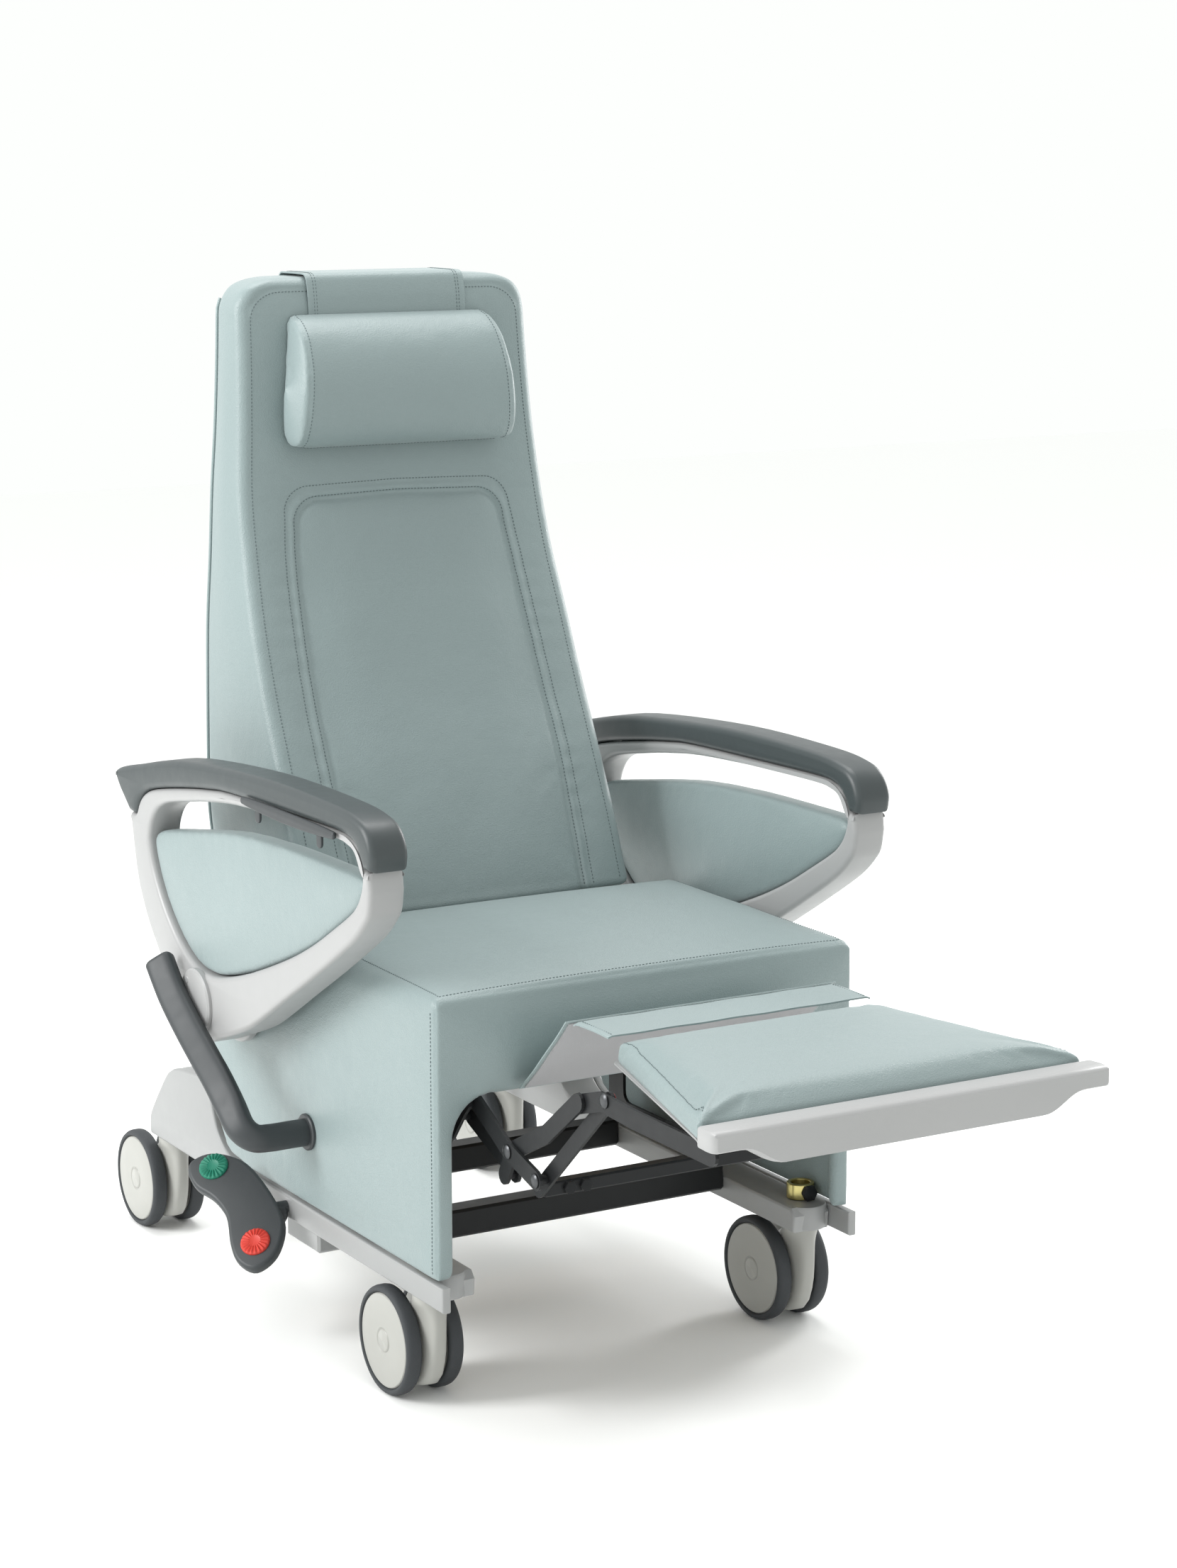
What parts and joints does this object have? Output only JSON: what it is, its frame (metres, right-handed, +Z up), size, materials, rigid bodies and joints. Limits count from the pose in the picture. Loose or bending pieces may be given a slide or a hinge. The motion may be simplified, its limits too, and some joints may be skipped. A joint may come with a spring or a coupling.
{
  "type": "patient recliner chair",
  "caption": "Mobile patient recliner with a reclining back, raised legrest, drop arms, sliding headrest, rocker brake pedal and twin-wheel swivel casters.",
  "frame": {"origin": "on the floor, midway between the chair's outermost points left to right and front to back", "axes": "+Z up, -Y towards the feet end the sitter faces, +X to the sitter's left; node names say left and right as seen from the front, so left is -X, the side with the lever and the pedal"},
  "size_m": [0.707, 1.3845, 1.22],
  "materials": {
    "vinyl": "soft satin coated upholstery vinyl, pale aqua",
    "frame_paint": "light grey powder coat",
    "white_shell": "off-white moulded shell",
    "caster_shell": "cream white moulding",
    "tyre": "grey tread",
    "arm_cap": "dark grey soft-touch skin",
    "dark_plastic": "dark grey, fine grain",
    "steel": "black satin paint",
    "collar": "yellow zinc plated",
    "board": "plain plywood",
    "pad_green": "green moulding",
    "pad_red": "red moulding"
  },
  "bodies": {
    "base": {"side_rail_left": "frame_paint", "side_rail_right": "frame_paint", "stem_bush_left": "collar", "stem_bush_right": "collar", "front_cross_tube": "steel", "middle_cross_tube": "steel", "rear_cross_tube": "steel", "seat_board": "board", "seat_cushion": "vinyl", "side_panel_left": "vinyl", "side_panel_right": "vinyl", "front_panel": "vinyl", "pivot_bezel_left": "frame_paint", "pivot_bezel_right": "frame_paint", "mech_plate_left": "steel", "mech_plate_right": "steel", "pedal_housing": "frame_paint"},
    "backrest": {"back_board": "board", "back_cushion": "vinyl", "back_shell": "vinyl", "back_bracket_left": "steel", "back_bracket_right": "steel", "headrest_strap": "vinyl"},
    "headrest": {"headrest_pillow": "vinyl"},
    "arm_left": {"arm_frame_left": "white_shell", "arm_cap_left": "arm_cap", "arm_panel_left": "vinyl"},
    "arm_right": {"arm_frame_right": "white_shell", "arm_cap_right": "arm_cap", "arm_panel_right": "vinyl"},
    "latch_left": {"arm_latch_left": "dark_plastic"},
    "latch_right": {"arm_latch_right": "dark_plastic"},
    "lever": {"recline_lever": "dark_plastic"},
    "pedal": {"brake_pedal": "dark_plastic", "steer_pad": "pad_green", "brake_pad": "pad_red"},
    "lift_arms": {"lift_arm_left": "steel", "lift_arm_right": "steel"},
    "lift_stays": {"lift_stay_left": "steel", "lift_stay_right": "steel"},
    "carry_links": {"carry_link_left": "steel", "carry_link_right": "steel"},
    "front_links": {"front_link_left": "steel", "front_link_right": "steel", "link_cross_bar": "steel"},
    "legrest": {"legrest_tray": "white_shell", "legrest_pad": "vinyl", "legrest_bracket_left": "steel", "legrest_bracket_right": "steel"},
    "flap_front": {"gap_flap_front": "vinyl"},
    "flap_rear": {"gap_flap_rear": "vinyl"},
    "caster_front_left": {"caster_housing_front_left": "caster_shell"},
    "wheel_front_left": {"wheel_pair_front_left": "tyre"},
    "caster_front_right": {"caster_housing_front_right": "caster_shell"},
    "wheel_front_right": {"wheel_pair_front_right": "tyre"},
    "caster_rear_left": {"caster_housing_rear_left": "caster_shell"},
    "wheel_rear_left": {"wheel_pair_rear_left": "tyre"},
    "caster_rear_right": {"caster_housing_rear_right": "caster_shell"},
    "wheel_rear_right": {"wheel_pair_rear_right": "tyre"}
  },
  "joints": [
    {"name": "back_recline", "type": "hinge", "parent": "base", "child": "backrest", "pos_m": [0.012, 0.247, 0.455], "axis": [-1, 0, 0], "range_deg": [0, 50]},
    {"name": "headrest_slide", "type": "slide", "parent": "backrest", "child": "headrest", "axis": [0, 0.0995, 0.995], "range_m": [-0.06, 0.015]},
    {"name": "arm_left_drop", "type": "hinge", "parent": "base", "child": "arm_left", "pos_m": [-0.3, 0.299, 0.378], "axis": [-1, 0, 0], "range_deg": [0, 90]},
    {"name": "arm_right_drop", "type": "hinge", "parent": "base", "child": "arm_right", "pos_m": [0.324, 0.299, 0.378], "axis": [-1, 0, 0], "range_deg": [0, 90]},
    {"name": "latch_left_pull", "type": "hinge", "parent": "arm_left", "child": "latch_left", "pos_m": [-0.3255, 0.037, 0.6515], "axis": [0, 1, 0], "range_deg": [0, 12], "stiffness_Nm_per_rad": 0.05, "springref_deg": -11.46},
    {"name": "latch_right_pull", "type": "hinge", "parent": "arm_right", "child": "latch_right", "pos_m": [0.3495, 0.037, 0.6515], "axis": [0, -1, 0], "range_deg": [0, 12], "stiffness_Nm_per_rad": 0.05, "springref_deg": -11.46},
    {"name": "legrest_lower", "type": "hinge", "parent": "base", "child": "lift_arms", "pos_m": [0.012, -0.1584, 0.3622], "axis": [1, 0, 0], "range_deg": [0, 56.1]},
    {"name": "stay_swing", "type": "hinge", "parent": "base", "child": "lift_stays", "pos_m": [0.012, -0.1233, 0.3265], "axis": [1, 0, 0], "range_deg": [0, 38.9]},
    {"name": "carry_swing", "type": "hinge", "parent": "lift_arms", "child": "carry_links", "pos_m": [0.012, -0.2438, 0.3187], "axis": [1, 0, 0], "range_deg": [-97.9, 0]},
    {"name": "legrest_tilt", "type": "hinge", "parent": "carry_links", "child": "legrest", "pos_m": [0.012, -0.384, 0.4077], "axis": [1, 0, 0], "range_deg": [0, 131.7]},
    {"name": "front_link_swing", "type": "hinge", "parent": "legrest", "child": "front_links", "pos_m": [0.012, -0.4323, 0.4207], "axis": [1, 0, 0], "range_deg": [-124.6, 0]},
    {"name": "flap_fold", "type": "hinge", "parent": "legrest", "child": "flap_front", "pos_m": [0.012, -0.3674, 0.4625], "axis": [1, 0, 0], "range_deg": [-90, 0]},
    {"name": "flap_hang", "type": "hinge", "parent": "base", "child": "flap_rear", "pos_m": [0.012, -0.191, 0.368], "axis": [1, 0, 0], "range_deg": [0, 131]},
    {"name": "lever_swing", "type": "hinge", "parent": "base", "child": "lever", "pos_m": [-0.288, 0.127, 0.254], "axis": [1, 0, 0], "range_deg": [0, 60]},
    {"name": "pedal_rock", "type": "hinge", "parent": "base", "child": "pedal", "pos_m": [-0.273, 0.196, 0.1445], "axis": [-1, 0, 0], "range_deg": [-12, 12]},
    {"name": "caster_front_left_swivel", "type": "hinge", "parent": "base", "child": "caster_front_left", "pos_m": [-0.233, -0.118, 0.13], "axis": [0, 0, 1], "continuous": true},
    {"name": "wheel_front_left_roll", "type": "hinge", "parent": "caster_front_left", "child": "wheel_front_left", "pos_m": [-0.233, -0.068, 0.0625], "axis": [1, 0, 0], "continuous": true},
    {"name": "caster_front_right_swivel", "type": "hinge", "parent": "base", "child": "caster_front_right", "pos_m": [0.257, -0.118, 0.13], "axis": [0, 0, 1], "continuous": true},
    {"name": "wheel_front_right_roll", "type": "hinge", "parent": "caster_front_right", "child": "wheel_front_right", "pos_m": [0.257, -0.068, 0.0625], "axis": [1, 0, 0], "continuous": true},
    {"name": "caster_rear_left_swivel", "type": "hinge", "parent": "base", "child": "caster_rear_left", "pos_m": [-0.233, 0.582, 0.13], "axis": [0, 0, 1], "continuous": true},
    {"name": "wheel_rear_left_roll", "type": "hinge", "parent": "caster_rear_left", "child": "wheel_rear_left", "pos_m": [-0.233, 0.632, 0.0625], "axis": [1, 0, 0], "continuous": true},
    {"name": "caster_rear_right_swivel", "type": "hinge", "parent": "base", "child": "caster_rear_right", "pos_m": [0.257, 0.582, 0.13], "axis": [0, 0, 1], "continuous": true},
    {"name": "wheel_rear_right_roll", "type": "hinge", "parent": "caster_rear_right", "child": "wheel_rear_right", "pos_m": [0.257, 0.632, 0.0625], "axis": [1, 0, 0], "continuous": true}
  ],
  "couplings": [
    {"joint": "stay_swing", "follows": "legrest_lower", "ratio": 0.69162},
    {"joint": "carry_swing", "follows": "legrest_lower", "ratio": -1.7433},
    {"joint": "legrest_tilt", "follows": "legrest_lower", "ratio": 2.3458},
    {"joint": "front_link_swing", "follows": "legrest_lower", "ratio": -2.2193},
    {"joint": "flap_fold", "follows": "legrest_lower", "ratio": -1.6007},
    {"joint": "flap_hang", "follows": "legrest_lower", "ratio": 2.3316},
    {"joint": "lever_swing", "follows": "legrest_lower", "ratio": 1.0677}
  ]
}
